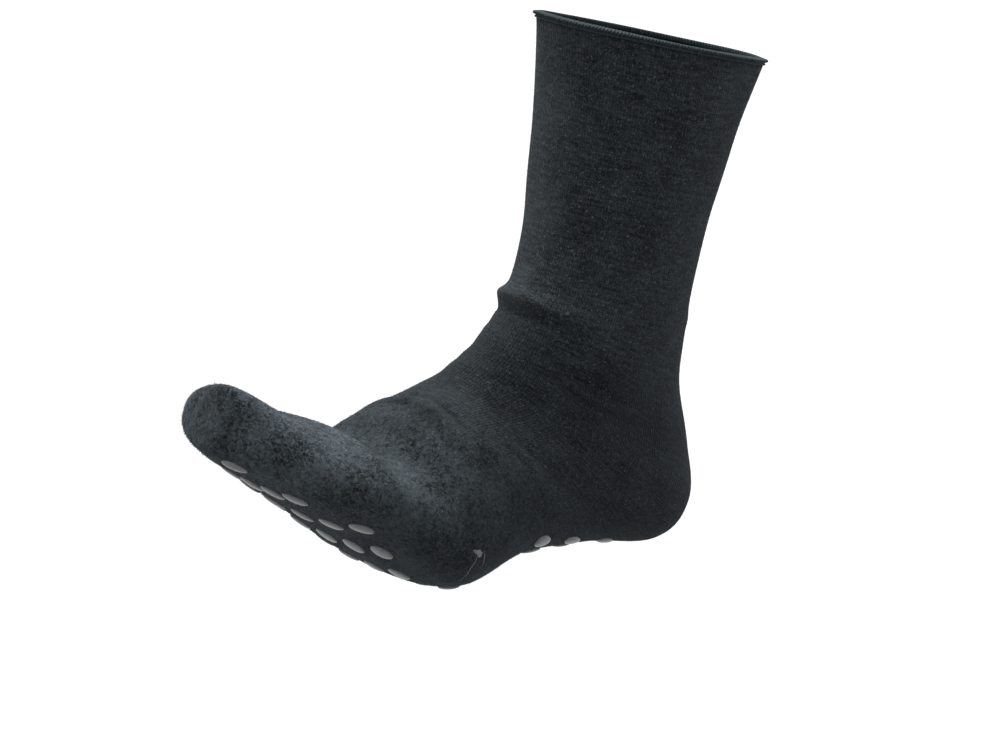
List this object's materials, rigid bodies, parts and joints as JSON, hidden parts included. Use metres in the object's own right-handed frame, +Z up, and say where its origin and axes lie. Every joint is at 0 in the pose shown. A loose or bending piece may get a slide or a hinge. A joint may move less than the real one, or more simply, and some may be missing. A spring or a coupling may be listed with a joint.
{
  "type": "sock",
  "caption": "Knitted crew sock in its worn shape, hollow and open at the cuff, toes bent up, with round grip dots on the sole.",
  "frame": {"origin": "centre of the cuff's opening, where the wearer's leg enters", "axes": "+Z up from the standing line of heel and ball, -Y towards the toes, +X towards the little-toe side of a left foot"},
  "size_m": [0.088, 0.242, 0.214],
  "materials": {
    "knit": "heather wool-blend knit, matte and slightly fuzzy",
    "edge_knit": "turned knit edge, matte",
    "grip": "translucent grey silicone, satin"
  },
  "bodies": {
    "root": {"sock_body": "knit", "cuff_edge": "edge_knit", "grip_dot_01": "grip", "grip_dot_02": "grip", "grip_dot_03": "grip", "grip_dot_04": "grip", "grip_dot_05": "grip", "grip_dot_06": "grip", "grip_dot_07": "grip", "grip_dot_08": "grip", "grip_dot_09": "grip", "grip_dot_10": "grip", "grip_dot_11": "grip", "grip_dot_12": "grip", "grip_dot_13": "grip", "grip_dot_14": "grip", "grip_dot_15": "grip", "grip_dot_16": "grip", "grip_dot_17": "grip", "grip_dot_18": "grip", "grip_dot_19": "grip", "grip_dot_20": "grip", "grip_dot_21": "grip", "grip_dot_22": "grip", "grip_dot_23": "grip", "grip_dot_24": "grip", "grip_dot_25": "grip", "grip_dot_26": "grip", "grip_dot_27": "grip", "grip_dot_28": "grip", "grip_dot_29": "grip", "grip_dot_30": "grip", "grip_dot_31": "grip", "grip_dot_32": "grip", "grip_dot_33": "grip", "grip_dot_34": "grip", "grip_dot_35": "grip", "grip_dot_36": "grip", "grip_dot_37": "grip", "grip_dot_38": "grip", "grip_dot_39": "grip", "grip_dot_40": "grip", "grip_dot_41": "grip", "grip_dot_42": "grip", "grip_dot_43": "grip", "grip_dot_44": "grip", "grip_dot_45": "grip", "grip_dot_46": "grip", "grip_dot_47": "grip", "grip_dot_48": "grip"}
  },
  "joints": []
}
